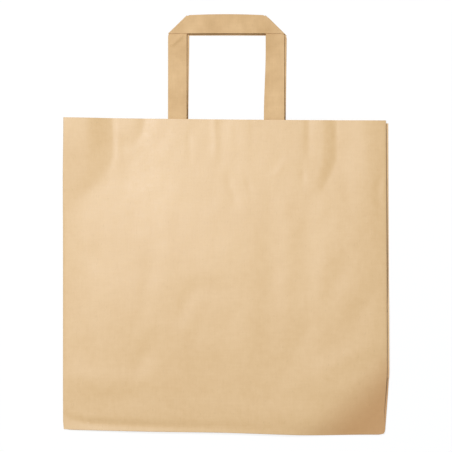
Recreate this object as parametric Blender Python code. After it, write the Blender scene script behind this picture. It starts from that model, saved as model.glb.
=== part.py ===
"""Kraft paper carrier bag with two flat paper handles, folded flat and lying on its back.

The bag is one sheet: a gusseted tube whose foot is folded into a block bottom, and that bottom is
folded up against the back panel. Each sheet is modelled as its middle surface, panel by panel, and a
Solidify modifier gives it the thickness of the paper.

On the flat bag, x runs across it from its middle line and v runs up it from the bottom fold.
"""

import math

import bmesh
import bpy
from mathutils import Vector

MM = 0.001

# The flat bag
BAG_WIDTH = 320 * MM
BAG_HEIGHT = 310 * MM
GUSSET_DEPTH = 115 * MM
BOTTOM_LAP = 20 * MM
PAPER = 0.2 * MM
LAYER_GAP = 0.2 * MM

# Out of square, as the photographed bag is: how far the right end of each edge drops below its left end
MOUTH_DROP = 2.5 * MM
BOTTOM_DROP = 7.5 * MM

# The lower right corner curls down, which draws its outline in
CURL_REACH_X = 88 * MM
CURL_REACH_V = 80 * MM
CURL_IN_X = 1.8 * MM
CURL_IN_V = 3.2 * MM

# How high the front panel stands
SIDE_HEIGHT = 4.7 * MM
MOUTH_SIDE_HEIGHT = 3.4 * MM
PUFF = 6.0 * MM
MOUTH_PUFF_SHARE = 0.8
BOTTOM_RIM = 6 * MM
BOTTOM_RISE = 60 * MM
BACK_SETTLE = 50 * MM
GUSSET_LIFT = 1.5 * MM
FOLD_BULGE = 0.5 * MM

# Handles: glued plies of the same paper, folded at 45 degrees at both upper corners
STRIP_WIDTH = 19 * MM
STRIP_THICKNESS = 0.8 * MM
STRIP_FOLD_GAP = 0.15 * MM
HANDLE_RISE = 103 * MM
HANDLE_INSERT = 42 * MM
HANDLE_OFFSET = 2 * MM
FRONT_HANDLE_WIDTH = 116 * MM
BACK_HANDLE_WIDTH = 114 * MM
BACK_HANDLE_DROP = 2 * MM
BAR_BOW = 0.8 * MM

# Reinforcing patches that hold the handle ends inside the mouth
PATCH_WIDTH = 164 * MM
PATCH_HEIGHT = 52 * MM
PATCH_INSET = 3 * MM
PATCH_STEP = 4 * MM

# Clearance between separate pieces
SEAT = 0.3 * MM

KRAFT = (0.80, 0.60, 0.38, 1.0)
KRAFT_HANDLE = (0.72, 0.49, 0.27, 1.0)
KRAFT_PATCH = (0.74, 0.53, 0.31, 1.0)
KRAFT_ROUGHNESS = 0.85

# Derived lengths
PITCH = PAPER + LAYER_GAP
HALF_WIDTH = BAG_WIDTH / 2
HALF_GUSSET = GUSSET_DEPTH / 2
GUSSET_X = HALF_WIDTH - HALF_GUSSET
FLAP = HALF_GUSSET + BOTTOM_LAP / 2
TUCK_X = HALF_WIDTH - FLAP + PITCH
FOOT = PITCH
CREASE = HALF_GUSSET
CREASE_OUT = HALF_GUSSET - PITCH
BOTTOM_TOP = GUSSET_DEPTH
BOTTOM_TOP_IN = GUSSET_DEPTH - PITCH
MOUTH = BAG_HEIGHT

# The folded layers, from the one on the floor upwards, while they lie on each other
LAYERS = (
    "back_flap",
    "back_tuck",
    "front_flap",
    "front_tuck",
    "gusset_flap",
    "gusset_foot",
    "gusset_fold",
    "back_fold",
    "back",
    "gusset_back",
)

# Cells of the grid
CENTRE_CELLS = 4
GUSSET_CELLS = 4
UPPER_CELLS = 9
FOLD_STEPS = 4


def smooth(value):
    """0 below 0, 1 above 1, and an S curve between."""
    value = min(max(value, 0.0), 1.0)
    return value * value * (3 - 2 * value)


def spaced(start, end, cells):
    """Points from start to end, both included."""
    return [start + (end - start) * k / cells for k in range(cells + 1)]


CENTRE_XS = spaced(0, TUCK_X, CENTRE_CELLS) + [GUSSET_X]
SIDE_XS = spaced(GUSSET_X, HALF_WIDTH, GUSSET_CELLS)
HALF_XS = CENTRE_XS + SIDE_XS[1:]
ALL_XS = [-x for x in reversed(HALF_XS[1:])] + HALF_XS
FOOT_VS = spaced(FOOT, CREASE_OUT, GUSSET_CELLS)
FOLD_VS = spaced(CREASE, BOTTOM_TOP_IN, GUSSET_CELLS)
UPPER_VS = spaced(BOTTOM_TOP, MOUTH, UPPER_CELLS)
GUSSET_VS = [CREASE_OUT, *FOLD_VS, *UPPER_VS]
BACK_VS = FOLD_VS + UPPER_VS
FRONT_VS = [0.0, *FOOT_VS[:-1], *GUSSET_VS]


def stack_height(layer):
    """Middle of a layer that lies in the folded stack."""
    return PAPER / 2 + PITCH * LAYERS.index(layer)


def side_height(v):
    """Middle of the front panel at its side folds."""
    corner = stack_height("gusset_foot") + 2 * PITCH
    low = corner + (SIDE_HEIGHT - corner) * smooth(v / CREASE_OUT)
    past_bottom = smooth((v - BOTTOM_TOP) / (MOUTH - BOTTOM_TOP))
    return low + (MOUTH_SIDE_HEIGHT - SIDE_HEIGHT) * past_bottom


def puff(x, v):
    """How far the front panel stands above its side folds."""
    across = 1 - abs(x / HALF_WIDTH) ** 2.5
    rise = smooth((v - BOTTOM_RIM) / BOTTOM_RISE)
    towards_mouth = 1 - (1 - MOUTH_PUFF_SHARE) * smooth((v - BOTTOM_TOP) / (MOUTH - BOTTOM_TOP))
    return PUFF * across * rise * towards_mouth


def front_height(x, v):
    return side_height(v) + puff(x, v)


def back_height(v):
    """The back panel lies on the folded bottom, and on the floor above it."""
    on_bottom = 1 - smooth((v - BOTTOM_TOP) / BACK_SETTLE)
    return PAPER / 2 + (stack_height("back") - PAPER / 2) * on_bottom


def gusset_share(x):
    """0 at the side fold and 1 at the gusset's inner crease."""
    return (HALF_WIDTH - abs(x)) / HALF_GUSSET


def gusset_back_height(x, v):
    lift = GUSSET_LIFT * smooth((v - CREASE) / BACK_SETTLE)
    return back_height(v) + PITCH + lift * gusset_share(x)


def gusset_front_height(x, v):
    at_side = side_height(v) - PITCH
    if v < CREASE_OUT:
        corner = stack_height("gusset_foot") + PITCH
        at_crease = corner + (gusset_back_height(GUSSET_X, CREASE_OUT) + PITCH - corner) * v / CREASE_OUT
    else:
        at_crease = gusset_back_height(GUSSET_X, v) + PITCH
    return at_side + (at_crease - at_side) * gusset_share(x)


def layer_height(layer, x, v):
    """Middle of a layer of the bag's sheet above the floor."""
    if layer == "front":
        return front_height(x, v)
    if layer == "back":
        return back_height(v)
    if layer == "gusset_back":
        return gusset_back_height(x, v)
    if layer == "gusset_front":
        return gusset_front_height(x, v)
    return stack_height(layer)


def on_floor(x, v):
    """Where a point of the flat bag lies, seen from above: out of square, with one corner drawn in."""
    up = v / BAG_HEIGHT
    drop = BOTTOM_DROP * (1 - up) + MOUTH_DROP * up
    near_side = smooth(1 - (HALF_WIDTH - x) / CURL_REACH_X)
    near_bottom = smooth(1 - v / CURL_REACH_V)
    across = x - CURL_IN_X * near_side * near_bottom
    along = v - drop * (x + HALF_WIDTH) / BAG_WIDTH + CURL_IN_V * near_side * near_bottom
    return across, along


class Sheet:
    """Middle surface of one folded sheet. Points are shared by layer and place, so panels join at folds."""

    def __init__(self, height, place):
        self.mesh = bmesh.new()
        self.height = height
        self.place = place
        self.points = {}

    def at(self, layer, x, v):
        key = (layer, round(x / MM, 4), round(v / MM, 4))
        if key not in self.points:
            self.points[key] = self.mesh.verts.new((*self.place(x, v), self.height(layer, x, v)))
        return self.points[key]

    def panel(self, layer, outline):
        """One flat panel from its outline."""
        return self.mesh.faces.new([self.at(layer, x, v) for x, v in outline])

    def grid(self, layer, xs, vs):
        """A curved panel. Each cell is cut from its outer lower corner to its inner upper one."""
        for x0, x1 in zip(xs, xs[1:]):
            inner, outer = sorted((x0, x1), key=abs)
            for v0, v1 in zip(vs, vs[1:]):
                self.panel(layer, [(outer, v0), (outer, v1), (inner, v1)])
                self.panel(layer, [(outer, v0), (inner, v1), (inner, v0)])

    def fold(self, upper, lower, path):
        """The wall of paper between two layers along a fold."""
        for (x0, v0), (x1, v1) in zip(path, path[1:]):
            corners = [(upper, x0, v0), (upper, x1, v1), (lower, x1, v1), (lower, x0, v0)]
            self.mesh.faces.new([self.at(*corner) for corner in corners])

    def round_fold(self, upper, lower, path, outward, bulge):
        """A fold with a rounded back. The bulge dies out at both ends of the path."""
        columns = []
        ends = [path[0][0], path[-1][0]]
        for x, v in path:
            top = self.at(upper, x, v)
            foot = self.at(lower, x, v)
            reach = bulge * smooth(min(abs(x - end) for end in ends) / (10 * MM))
            column = [top]
            if (x, v) not in (path[0], path[-1]):
                for k in range(1, FOLD_STEPS):
                    share = k / FOLD_STEPS
                    point = top.co.lerp(foot.co, share)
                    point.y += outward * reach * math.sin(math.pi * share)
                    column.append(self.mesh.verts.new(point))
            columns.append([*column, foot])
        for left, right in zip(columns, columns[1:]):
            if len(left) == len(right):
                for k in range(FOLD_STEPS):
                    self.mesh.faces.new([left[k], right[k], right[k + 1], left[k + 1]])
            else:
                self.fan(*sorted((left, right), key=len))

    def fan(self, end, column):
        """Joins the straight end of a rounded fold to its first or last bulging column."""
        middle = FOLD_STEPS // 2
        for k in range(FOLD_STEPS):
            self.mesh.faces.new([end[0] if k < middle else end[1], column[k], column[k + 1]])
        self.mesh.faces.new([end[0], column[middle], end[1]])

    def cap(self, corners):
        """A small wall in the plane of the side fold, which closes one fold inside another."""
        self.mesh.faces.new([self.at(*corner) for corner in corners])

    def object(self, name, thickness, material):
        bmesh.ops.recalc_face_normals(self.mesh, faces=self.mesh.faces)
        data = bpy.data.meshes.new(name)
        self.mesh.to_mesh(data)
        self.mesh.free()
        data.materials.append(material)
        made = bpy.data.objects.new(name, data)
        bpy.context.scene.collection.objects.link(made)
        shell = made.modifiers.new("paper_thickness", "SOLIDIFY")
        shell.thickness = thickness
        shell.offset = 0
        shell.use_even_offset = True
        shell.use_quality_normals = True
        data.shade_smooth()
        data.set_sharp_from_angle(angle=math.radians(30))
        return made


def along_v(x, vs):
    return [(x, v) for v in vs]


def along_x(xs, v):
    return [(x, v) for x in xs]


def build_upper_panels(sheet):
    """Front, back and both halves of each gusset, up to the mouth."""
    sheet.grid("front", ALL_XS, FRONT_VS)
    sheet.grid("back", ALL_XS, BACK_VS)
    for side in (1, -1):
        xs = [side * x for x in SIDE_XS]
        edge = side * HALF_WIDTH
        sheet.grid("gusset_back", xs, GUSSET_VS)
        sheet.grid("gusset_front", xs, GUSSET_VS)
        sheet.fold("front", "gusset_front", along_v(edge, FRONT_VS[1:]))
        sheet.fold("gusset_back", "back", along_v(edge, BACK_VS))
        sheet.fold("gusset_front", "gusset_back", along_v(side * GUSSET_X, GUSSET_VS))


def build_gusset_foot(sheet, side):
    """The gusset's foot, folded along two diagonals onto the block bottom."""
    edge = side * HALF_WIDTH
    diagonal = [(side * x, v) for x, v in zip(reversed(SIDE_XS), FOOT_VS)]
    inner_corner = diagonal[-1]
    for k, (x, v) in enumerate(diagonal[:-1]):
        x_next, v_next = diagonal[k + 1]
        sheet.panel("gusset_front", [(x, v), (x, v_next), (x_next, v_next)])
        outer_xs = [side * x_side for x_side in SIDE_XS if x_side >= abs(x) - MM]
        if len(outer_xs) > 1:
            sheet.grid("gusset_front", outer_xs, [v, v_next])
    sheet.fold("gusset_front", "gusset_foot", diagonal[:-1])
    last = diagonal[-2]
    sheet.cap(
        [
            ("gusset_front", *last),
            ("gusset_foot", *last),
            ("gusset_foot", *inner_corner),
            ("gusset_fold", *inner_corner),
            ("gusset_back", *inner_corner),
            ("gusset_front", *inner_corner),
        ]
    )
    side_vs = [*FOOT_VS, *FOLD_VS]
    sheet.panel("gusset_foot", along_v(edge, side_vs) + diagonal[:0:-1])
    crease = along_x([side * x for x in SIDE_XS], CREASE_OUT)
    sheet.panel("gusset_fold", crease + along_v(edge, FOLD_VS))
    sheet.fold("gusset_fold", "gusset_foot", [inner_corner, (edge, BOTTOM_TOP_IN)])
    sheet.fold("gusset_back", "gusset_fold", crease)
    sheet.fold("back_fold", "gusset_fold", along_v(edge, FOLD_VS))


def build_bottom_flaps(sheet):
    """The block bottom: two gusset flaps inside, and the front and back flaps lapped over them."""
    side_vs = [*FOOT_VS, *FOLD_VS]
    for side in (1, -1):
        edge = side * HALF_WIDTH
        tuck = side * TUCK_X
        tuck_xs = [side * x for x in HALF_XS if x >= TUCK_X - MM / 10]
        outline = along_v(edge, side_vs) + along_x(tuck_xs[-2::-1], BOTTOM_TOP_IN)
        sheet.panel("gusset_flap", outline + along_x(tuck_xs[:-1], FOOT))
        sheet.fold("gusset_foot", "gusset_flap", along_v(edge, side_vs))
        for name, at_fold, flap_end in (
            ("front", FOOT, FLAP),
            ("back", BOTTOM_TOP_IN, GUSSET_DEPTH - FLAP),
        ):
            sheet.panel(f"{name}_tuck", along_x(tuck_xs, at_fold) + [(tuck, flap_end)])
            sheet.fold("gusset_flap", f"{name}_tuck", along_x(tuck_xs, at_fold))
            sheet.fold(f"{name}_tuck", f"{name}_flap", [(edge, at_fold), (tuck, flap_end)])
    for name, fold_v, at_fold, flap_end in (
        ("front", 0.0, FOOT, FLAP),
        ("back", BOTTOM_TOP, BOTTOM_TOP_IN, GUSSET_DEPTH - FLAP),
    ):
        right = [(HALF_WIDTH, at_fold), (TUCK_X, flap_end)]
        left = [(-TUCK_X, flap_end), (-HALF_WIDTH, at_fold)]
        sheet.panel(f"{name}_flap", along_x(ALL_XS, fold_v) + right + left)


def build_cross_folds(sheet):
    """The folds that run across the whole bag, and the small walls at their ends."""
    back_outline = along_x(ALL_XS, CREASE) + along_v(HALF_WIDTH, [*FOLD_VS[1:], BOTTOM_TOP])
    back_outline += along_x(ALL_XS[-2::-1], BOTTOM_TOP) + along_v(-HALF_WIDTH, FOLD_VS[:0:-1])
    sheet.panel("back_fold", back_outline)
    sheet.fold("back", "back_fold", along_x(ALL_XS, CREASE))
    sheet.round_fold("front", "front_flap", along_x(ALL_XS, 0.0), -1, FOLD_BULGE)
    sheet.round_fold("back_fold", "back_flap", along_x(ALL_XS, BOTTOM_TOP), 1, FOLD_BULGE)
    foot_stack = ("front_flap", "front_tuck", "gusset_flap", "gusset_foot", "gusset_front", "front")
    top_stack = ("back_flap", "back_tuck", "gusset_flap", "gusset_foot", "gusset_fold", "back_fold")
    crease_stack = ("gusset_fold", "back_fold", "back", "gusset_back")
    for edge in (HALF_WIDTH, -HALF_WIDTH):
        sheet.cap([("front", edge, 0.0), ("front_flap", edge, 0.0)] + [(name, edge, FOOT) for name in foot_stack])
        sheet.cap(
            [("back_fold", edge, BOTTOM_TOP), ("back_flap", edge, BOTTOM_TOP)]
            + [(name, edge, BOTTOM_TOP_IN) for name in top_stack]
        )
        sheet.cap(
            [("gusset_back", edge, CREASE_OUT), ("gusset_fold", edge, CREASE_OUT)]
            + [(name, edge, CREASE) for name in crease_stack]
        )


def build_bag(material):
    """The bag itself, one folded sheet."""
    sheet = Sheet(layer_height, on_floor)
    build_upper_panels(sheet)
    for side in (1, -1):
        build_gusset_foot(sheet, side)
    build_bottom_flaps(sheet)
    build_cross_folds(sheet)
    return sheet.object("bag_body", PAPER, material)


class HandleShape:
    """Sizes and heights of one handle. facing is 1 on the front panel and -1 on the back one."""

    def __init__(self, facing, width, top, leg_rest):
        self.facing = facing
        self.outer = width / 2
        self.inner = width / 2 - STRIP_WIDTH
        self.top = top
        self.shoulder = top - STRIP_WIDTH
        self.foot = MOUTH - HANDLE_INSERT
        self.leg_rest = leg_rest

    def leg_height(self, x, v):
        """Middle of the legs: under the panel inside the mouth, and lying flat at the bar."""
        x_bag = x + HANDLE_OFFSET
        if self.facing > 0:
            in_bag = front_height(x_bag, min(v, MOUTH)) - PAPER / 2 - SEAT - STRIP_THICKNESS / 2
        else:
            in_bag = back_height(min(v, MOUTH)) + PAPER / 2 + SEAT + STRIP_THICKNESS / 2
        out = smooth((v - MOUTH) / (self.shoulder - MOUTH))
        return in_bag + (self.leg_rest - in_bag) * out

    def height(self, layer, x, v):
        if layer == "bar":
            return self.leg_rest + self.facing * (STRIP_THICKNESS + STRIP_FOLD_GAP)
        return self.leg_height(x, v)

    def place(self, x, v):
        """The bar bows up a little in the middle of its upper edge."""
        in_bar = max(v - self.shoulder, 0.0) / STRIP_WIDTH
        bow = BAR_BOW * in_bar * max(1 - (x / self.inner) ** 2, 0.0)
        return x + HANDLE_OFFSET, v + bow


def build_handle(name, shape, material):
    """A strip that runs up one leg, folds over at 45 degrees into the bar, and down the other leg."""
    sheet = Sheet(shape.height, shape.place)
    leg_vs = spaced(shape.foot, MOUTH, 3) + spaced(MOUTH, shape.shoulder, 6)[1:]
    strip_xs = spaced(shape.inner, shape.outer, 3)
    mitre_vs = spaced(shape.shoulder, shape.top, 3)
    for side in (1, -1):
        xs = [side * x for x in strip_xs]
        sheet.grid("leg", xs, leg_vs)
        mitre = [(side * x, v) for x, v in zip(reversed(strip_xs), mitre_vs)]
        sheet.panel("leg", along_x(xs, shape.shoulder) + mitre[1:])
        wrap_mitre(sheet, mitre, side)
    bar_xs = spaced(-shape.inner, shape.inner, 8)
    lower = along_x([-x for x in reversed(strip_xs[1:])], shape.shoulder) + along_x(bar_xs, shape.shoulder)
    lower += along_x(strip_xs[1:], shape.shoulder)
    right = [(x, v) for x, v in zip(reversed(strip_xs), mitre_vs)][1:]
    upper = along_x(bar_xs[-2:0:-1], shape.top)
    left = [(-x, v) for x, v in zip(strip_xs, reversed(mitre_vs))][:-1]
    sheet.panel("bar", lower + right + upper + left)
    return sheet.object(name, STRIP_THICKNESS, material)


def wrap_mitre(sheet, mitre, side):
    """The rounded fold along one mitre, from the leg over to the bar."""
    reach = (STRIP_THICKNESS + STRIP_FOLD_GAP) / 2
    outward = Vector((side, 1, 0)).normalized()
    columns = []
    for x, v in mitre:
        leg = sheet.at("leg", x, v)
        bar = sheet.at("bar", x, v)
        column = [leg]
        for k in range(1, FOLD_STEPS):
            angle = math.pi * k / FOLD_STEPS
            middle = (leg.co + bar.co) / 2
            rise = (leg.co - bar.co) / 2 * math.cos(angle)
            column.append(sheet.mesh.verts.new(middle + rise + outward * reach * math.sin(angle)))
        columns.append([*column, bar])
    for low, high in zip(columns, columns[1:]):
        for k in range(FOLD_STEPS):
            sheet.mesh.faces.new([low[k], high[k], high[k + 1], low[k + 1]])


class PatchShape:
    """Sizes and heights of the patch over one handle's ends."""

    def __init__(self, handle):
        self.handle = handle
        self.top = MOUTH - PATCH_INSET
        self.foot = self.top - PATCH_HEIGHT

    def height(self, _layer, x, v):
        """Glued to the panel, and stepping over the two handle legs."""
        handle = self.handle
        beside = max(handle.inner - abs(x), abs(x) - handle.outer, handle.foot - v)
        over = STRIP_THICKNESS + SEAT
        step = over * smooth(1 - (beside - SEAT) / PATCH_STEP)
        depth = PAPER + SEAT + step
        if handle.facing > 0:
            return front_height(x + HANDLE_OFFSET, v) - depth
        return back_height(v) + depth

    def place(self, x, v):
        return x + HANDLE_OFFSET, v


def build_patch(name, handle, material):
    """A rectangle of paper glued over the ends of one handle."""
    shape = PatchShape(handle)
    sheet = Sheet(shape.height, shape.place)
    steps = [SEAT, SEAT + PATCH_STEP / 2, SEAT + PATCH_STEP]
    inner = [handle.inner - step for step in reversed(steps)]
    outer = [handle.outer + step for step in steps]
    middle = spaced(inner[-1], outer[0], 3)[1:-1]
    xs = [0.0, *inner, *middle, *outer, PATCH_WIDTH / 2]
    below = [handle.foot - step for step in reversed(steps)]
    vs = [shape.foot, *below, *spaced(below[-1], shape.top, 3)[1:]]
    for side in (1, -1):
        sheet.grid("patch", [side * x for x in xs], vs)
    return sheet.object(name, PAPER, material)


def kraft(name, colour):
    material = bpy.data.materials.new(name)
    material.use_nodes = True
    shader = material.node_tree.nodes["Principled BSDF"]
    shader.inputs["Base Color"].default_value = colour
    shader.inputs["Roughness"].default_value = KRAFT_ROUGHNESS
    shader.inputs["Metallic"].default_value = 0.0
    return material


def centre_on_origin(pieces):
    """Puts the origin in the middle of the whole footprint, on the floor."""
    bpy.context.view_layer.update()
    graph = bpy.context.evaluated_depsgraph_get()
    corners = [Vector(c) for piece in pieces for c in piece.evaluated_get(graph).bound_box]
    low = Vector([min(c[k] for c in corners) for k in range(3)])
    high = Vector([max(c[k] for c in corners) for k in range(3)])
    middle = (low + high) / 2
    for piece in pieces:
        piece.location = (-middle.x, -middle.y, -low.z)


def main():
    for old in list(bpy.data.objects):
        bpy.data.objects.remove(old)
    handle_top = MOUTH + HANDLE_RISE
    fold_step = STRIP_THICKNESS + STRIP_FOLD_GAP
    back_rest = STRIP_THICKNESS / 2 + fold_step
    front_rest = back_rest + STRIP_THICKNESS + SEAT
    front_handle = HandleShape(1, FRONT_HANDLE_WIDTH, handle_top, front_rest)
    back_handle = HandleShape(-1, BACK_HANDLE_WIDTH, handle_top - BACK_HANDLE_DROP, back_rest)
    strip_paper = kraft("handle_kraft", KRAFT_HANDLE)
    patch_paper = kraft("patch_kraft", KRAFT_PATCH)
    pieces = [
        build_bag(kraft("bag_kraft", KRAFT)),
        build_handle("front_handle", front_handle, strip_paper),
        build_handle("back_handle", back_handle, strip_paper),
        build_patch("front_patch", front_handle, patch_paper),
        build_patch("back_patch", back_handle, patch_paper),
    ]
    centre_on_origin(pieces)


main()
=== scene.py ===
"""Looks of a flat-folded kraft paper carrier bag, lying on its back on a white surface.

The bag, its two handles and their patches are finer sheets of paper that stand for the CAD solids:
the same folds, with the buckles, dents and soft creases of a bag that has been opened and pressed flat.
On the flat bag, x runs across it from its middle line and v runs up it from the bottom fold.
"""

import math

import bmesh
import bpy
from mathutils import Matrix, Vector, noise


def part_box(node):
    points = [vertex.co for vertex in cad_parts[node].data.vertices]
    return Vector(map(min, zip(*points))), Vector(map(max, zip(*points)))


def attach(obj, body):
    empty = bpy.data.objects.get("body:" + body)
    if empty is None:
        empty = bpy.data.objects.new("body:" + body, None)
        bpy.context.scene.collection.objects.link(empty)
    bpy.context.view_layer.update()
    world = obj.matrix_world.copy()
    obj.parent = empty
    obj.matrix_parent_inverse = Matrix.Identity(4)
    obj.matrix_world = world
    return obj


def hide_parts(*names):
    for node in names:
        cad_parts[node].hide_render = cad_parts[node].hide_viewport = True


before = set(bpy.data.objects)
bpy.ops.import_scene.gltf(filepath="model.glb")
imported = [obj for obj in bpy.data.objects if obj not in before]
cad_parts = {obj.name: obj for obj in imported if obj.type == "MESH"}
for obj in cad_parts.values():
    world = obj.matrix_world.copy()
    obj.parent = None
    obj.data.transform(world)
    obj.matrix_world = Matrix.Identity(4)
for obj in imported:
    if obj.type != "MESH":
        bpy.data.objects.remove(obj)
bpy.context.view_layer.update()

MM = 0.001
BODY = "root"

# The flat bag, as in the frame
PAPER = 0.2 * MM
PITCH = 0.4 * MM
BAG_HEIGHT = 310 * MM
GUSSET_DEPTH = 115 * MM
BOTTOM_LAP = 20 * MM
bag_low, bag_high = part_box("bag_body")
BAG_WIDTH = bag_high.x - bag_low.x - PAPER
BASE_Y = bag_high.y - BAG_HEIGHT

# Places of its folds and edges
HALF_WIDTH = BAG_WIDTH / 2
HALF_GUSSET = GUSSET_DEPTH / 2
GUSSET_X = HALF_WIDTH - HALF_GUSSET
FLAP = HALF_GUSSET + BOTTOM_LAP / 2
TUCK_X = HALF_WIDTH - FLAP + PITCH
FOOT = PITCH
CREASE = HALF_GUSSET
CREASE_OUT = HALF_GUSSET - PITCH
BOTTOM_TOP = GUSSET_DEPTH
BOTTOM_TOP_IN = GUSSET_DEPTH - PITCH
MOUTH = BAG_HEIGHT

# The mouth and the bottom edge run down to the right. The mouth sags between its ends, and the bottom
# edge bows up near its middle.
MOUTH_DROP = 2.9 * MM
MOUTH_SAG = 0.6 * MM
BOTTOM_DROP = 7.5 * MM
BOTTOM_BOW = 0.7 * MM
BOTTOM_BOW_PLACE = -2 * MM
BOTTOM_BOW_REACH = 80 * MM
BOTTOM_BOW_FADE = 60 * MM

# The lower right corner is drawn in and its tip is rounded. The front panel falls down into it.
CURL_REACH_X = 88 * MM
CURL_REACH_V = 80 * MM
CURL_IN_V = 2.3 * MM
CORNER_ROUND = 0.8 * MM
CORNER_ROUND_REACH = 4 * MM
CORNER_FALL = 60 * MM

# Above that corner the right side fold stands higher, which fades out towards the mouth
SIDE_LIFT = 4.5 * MM
SIDE_LIFT_RISE = 70 * MM
SIDE_LIFT_REACH = 110 * MM
SIDE_LIFT_END = 70 * MM
SIDE_LIFT_FADE = 235 * MM

# The right side runs out from the corner to its widest place, and in again towards the mouth. Above the
# corner the front panel stays back from that line, and the panels behind it drop away at the mouth.
EDGE_REACH = 60 * MM
EDGE_IN = 0.5 * MM
EDGE_OUT = 4 * MM
EDGE_OUT_V = 65 * MM
EDGE_OUT_POWER = 1.25
EDGE_OUT_LOSS = 0.9 * MM
FRONT_BACK_STEP = 3.1 * MM
FRONT_STEP_LENGTH = 26 * MM
BACK_CORNER_DROP = 2.8 * MM
BACK_CORNER_REACH = 25 * MM

# The left side comes in a little towards the mouth
LEFT_MOUTH_IN = 0.8 * MM
LEFT_MOUTH_REACH = 70 * MM

# How high the front panel stands at its side folds, and how far it puffs up between them
SIDE_HEIGHT = 4.9 * MM
MOUTH_SIDE_HEIGHT = 4.8 * MM
PUFF = 5.6 * MM
PUFF_POWER = 4.5
MOUTH_PUFF_SHARE = 0.5

# It springs up at the bottom fold, apart from its right end, and above the hem it rises on to its puff
HEM = 6 * MM
RIGHT_HEM = 1 * MM
BOTTOM_SPRING = 4.2 * MM
SPRING_END = 130 * MM
SPRING_FADE = 80 * MM
BOTTOM_RISE = 140 * MM
RIGHT_BOTTOM_RISE = 32 * MM

# Left of the curled corner it rolls down a little more towards the bottom fold
ROLL_DEPTH = 0.9 * MM
ROLL_HEIGHT = 14 * MM
ROLL_PLACE = 98 * MM
ROLL_REACH = 42 * MM

# Above the folded bottom the back panel settles onto the floor, and the gussets open a little
BACK_SETTLE = 50 * MM
GUSSET_LIFT = 1.5 * MM

# Folds with a rounded back
SIDE_FOLD = 1.1 * MM
FOLD_BULGE = 0.6 * MM
FOLD_BULGE_FADE = 8 * MM

# Soft waves and a fine crinkle of the front panel, drawn out up the bag, each from its own slice of the
# noise. They and the dents begin at the hem and have their full depth at RELIEF_RISE above it.
WAVE_HEIGHT = 0.5 * MM
WAVE_LENGTH = 46 * MM
WAVE_STRETCH = 0.6
WAVE_SLICE = 3.7
CRINKLE_HEIGHT = 0.11 * MM
CRINKLE_LENGTH = 13 * MM
CRINKLE_STRETCH = 0.7
CRINKLE_SLICE = 8.1
RELIEF_RISE = 30 * MM

# Handles, which are strips of paper with rounded edges that reach down into the mouth. The back one is
# lower and leans to the right.
STRIP_WIDTH = 18.6 * MM
STRIP_THICKNESS = 0.8 * MM
STRIP_FOLD_GAP = 0.15 * MM
STRIP_STEP = STRIP_THICKNESS + STRIP_FOLD_GAP
STRIP_EDGE = 0.22 * MM
STRIP_EDGE_SEGMENTS = 2
STRIP_EDGE_ANGLE = 60
HANDLE_RISE = 102.1 * MM
HANDLE_INSERT = 42 * MM
HANDLE_WIDTH = 115.7 * MM
HANDLE_GAP = 3 * MM
HANDLE_TOP = MOUTH + HANDLE_RISE
FRONT_OFFSET = 1.7 * MM
BACK_OFFSET = 3.2 * MM
BACK_LEAN = 1 * MM
BACK_HANDLE_DROP = 1.8 * MM

# Height of the middle of each handle's legs, where they meet its bar
BACK_REST = STRIP_THICKNESS / 2 + STRIP_STEP
FRONT_REST = BACK_REST + STRIP_THICKNESS + HANDLE_GAP

# Each bar bows along its upper edge and arches up in its middle, each mitre is pulled in, and the front
# handle's legs sag
BAR_BOW = 0.9 * MM
BAR_SETTLE = 0.5 * MM
BAR_ARCH = 1.6 * MM
LEG_SAG = 1.8 * MM
MITRE_PULL = 0.65 * MM
MITRE_PULL_REACH = 3 * MM

# One ply of the front handle's right leg stands out. It is furthest out at the mouth, and back in line
# at PLY_SLIP_TOP of the leg's height.
PLY_SLIP = 1.8 * MM
PLY_SLIP_TOP = 0.8
PLY_SLIP_REACH = 2.5 * MM

# Patches, and the gap left where paper is glued to paper
PATCH_WIDTH = 164 * MM
PATCH_HEIGHT = 52 * MM
PATCH_INSET = 3 * MM
PATCH_STEP = 4 * MM
SEAT = 0.3 * MM

# The folded layers, from the one on the floor upwards, while they lie on each other
LAYERS = (
    "back_flap",
    "back_tuck",
    "front_flap",
    "front_tuck",
    "gusset_flap",
    "gusset_foot",
    "gusset_fold",
    "back_fold",
    "back",
    "gusset_back",
)
FRONT_LAYERS = ("front", "gusset_front")

# Cells of the sheets, and steps round their folds
CENTRE_CELLS = 37
TUCK_CELLS = 4
GUSSET_CELLS = 23
UPPER_CELLS = 78
FOLD_STEPS = 4
STRIP_CELLS = 16
LEG_CELLS = 90
INSERT_CELLS = 30
BAR_CELLS = 60
MITRE_STEPS = 6
PATCH_CELLS_X = 82
PATCH_CELLS_V = 26

# Places closer than SAME_PLACE count as one, points that agree to SHARED_DECIMALS of a millimetre are
# shared, and edges sharper than SHARP_ANGLE degrees stay sharp
SAME_PLACE = 0.1 * MM
SHARED_DECIMALS = 4
SHARP_ANGLE = 20

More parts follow.
